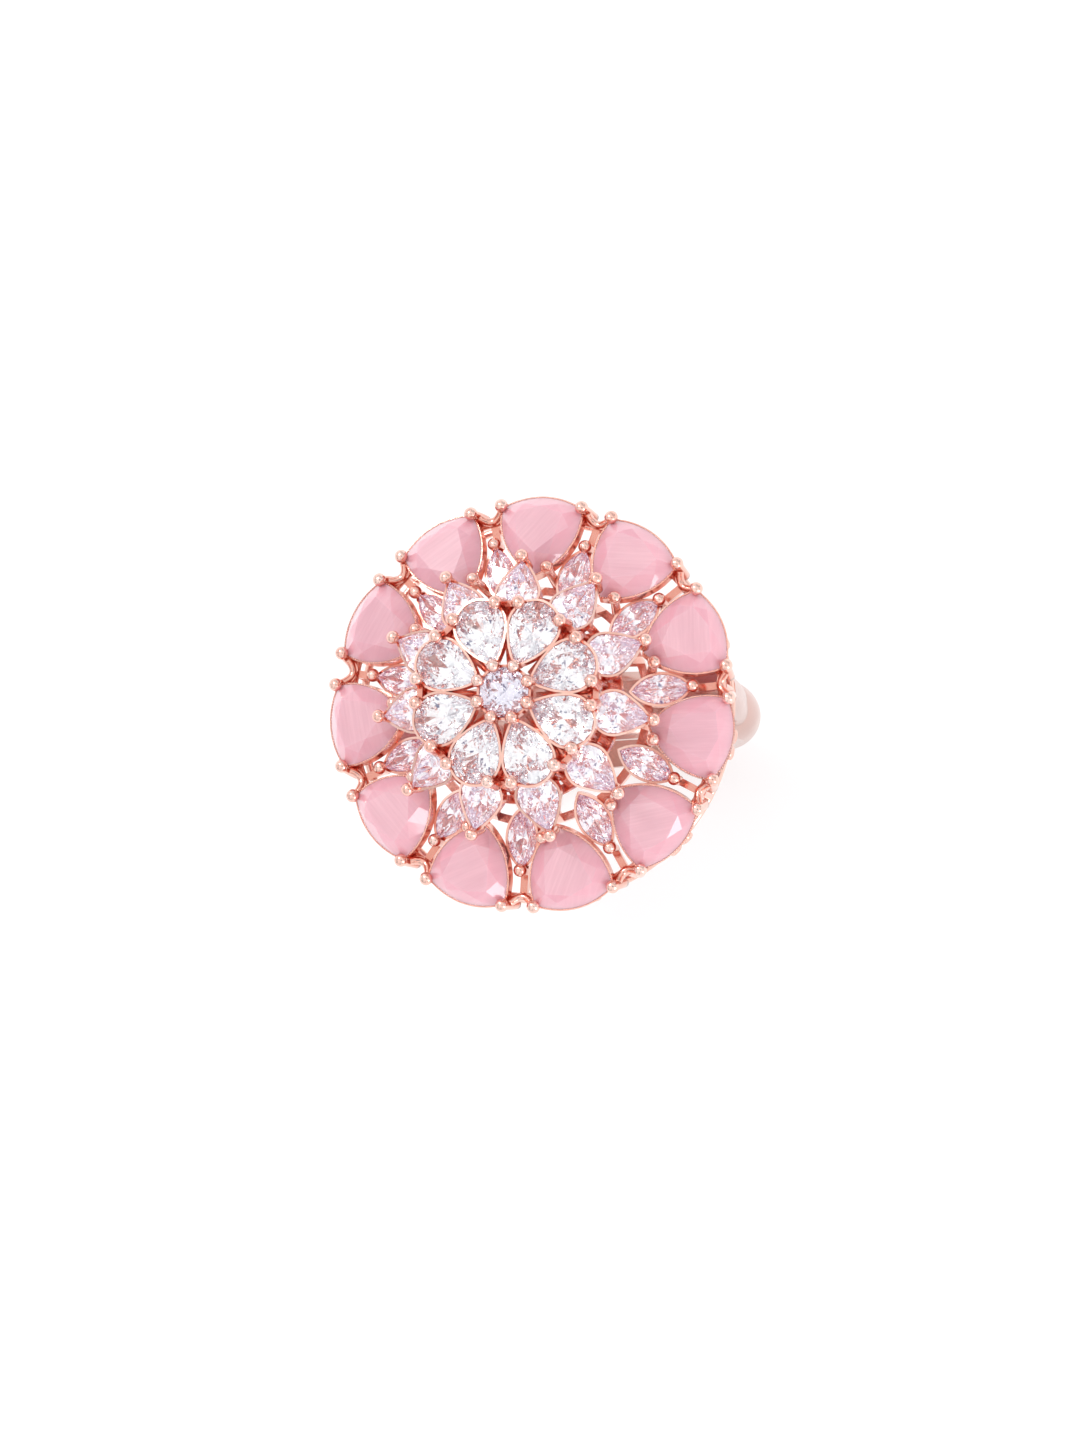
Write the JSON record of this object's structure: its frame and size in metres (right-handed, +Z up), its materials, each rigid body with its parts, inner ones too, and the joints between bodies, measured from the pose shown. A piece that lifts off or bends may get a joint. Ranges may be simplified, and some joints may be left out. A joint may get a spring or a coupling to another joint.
{
  "type": "cocktail ring",
  "caption": "Domed flower cluster cocktail ring: rose gold plated band and open gallery, clear pear petals and marquises over pink cat's-eye trillions.",
  "frame": {"origin": "centre of the finger hole, at the middle of the band's width", "axes": "+Y along the finger, +Z up through the middle of the crown, +X along the band's plane"},
  "size_m": [0.0253, 0.0252, 0.0315],
  "materials": {
    "rose_gold": "polished",
    "band_gold": "polished",
    "crystal": "polished",
    "cats_eye": "polished"
  },
  "bodies": {
    "root": {"band": "band_gold", "band_shoulders": "band_gold", "centre_claws": "rose_gold", "centre_stone": "crystal", "dome_frame": "rose_gold", "flower_setting": "rose_gold", "flower_stand": "rose_gold", "foot_rail": "rose_gold", "gallery_posts": "rose_gold", "gallery_scrolls": "rose_gold", "marquise_claws": "rose_gold", "marquise_collets": "rose_gold", "marquise_stone_01": "crystal", "marquise_stone_02": "crystal", "marquise_stone_03": "crystal", "marquise_stone_04": "crystal", "marquise_stone_05": "crystal", "marquise_stone_06": "crystal", "marquise_stone_07": "crystal", "marquise_stone_08": "crystal", "marquise_stone_09": "crystal", "marquise_stone_10": "crystal", "marquise_stone_11": "crystal", "mid_claws": "rose_gold", "mid_collets": "rose_gold", "mid_stone_01": "crystal", "mid_stone_02": "crystal", "mid_stone_03": "crystal", "mid_stone_04": "crystal", "mid_stone_05": "crystal", "mid_stone_06": "crystal", "mid_stone_07": "crystal", "mid_stone_08": "crystal", "mid_stone_09": "crystal", "mid_stone_10": "crystal", "mid_stone_11": "crystal", "outer_claws": "rose_gold", "outer_collets": "rose_gold", "outer_stone_01": "cats_eye", "outer_stone_02": "cats_eye", "outer_stone_03": "cats_eye", "outer_stone_04": "cats_eye", "outer_stone_05": "cats_eye", "outer_stone_06": "cats_eye", "outer_stone_07": "cats_eye", "outer_stone_08": "cats_eye", "outer_stone_09": "cats_eye", "outer_stone_10": "cats_eye", "outer_stone_11": "cats_eye", "petal_claws": "rose_gold", "petal_stone_01": "crystal", "petal_stone_02": "crystal", "petal_stone_03": "crystal", "petal_stone_04": "crystal", "petal_stone_05": "crystal", "petal_stone_06": "crystal", "petal_stone_07": "crystal", "petal_stone_08": "crystal", "seat_frame": "rose_gold", "tip_claws": "rose_gold"}
  },
  "joints": []
}
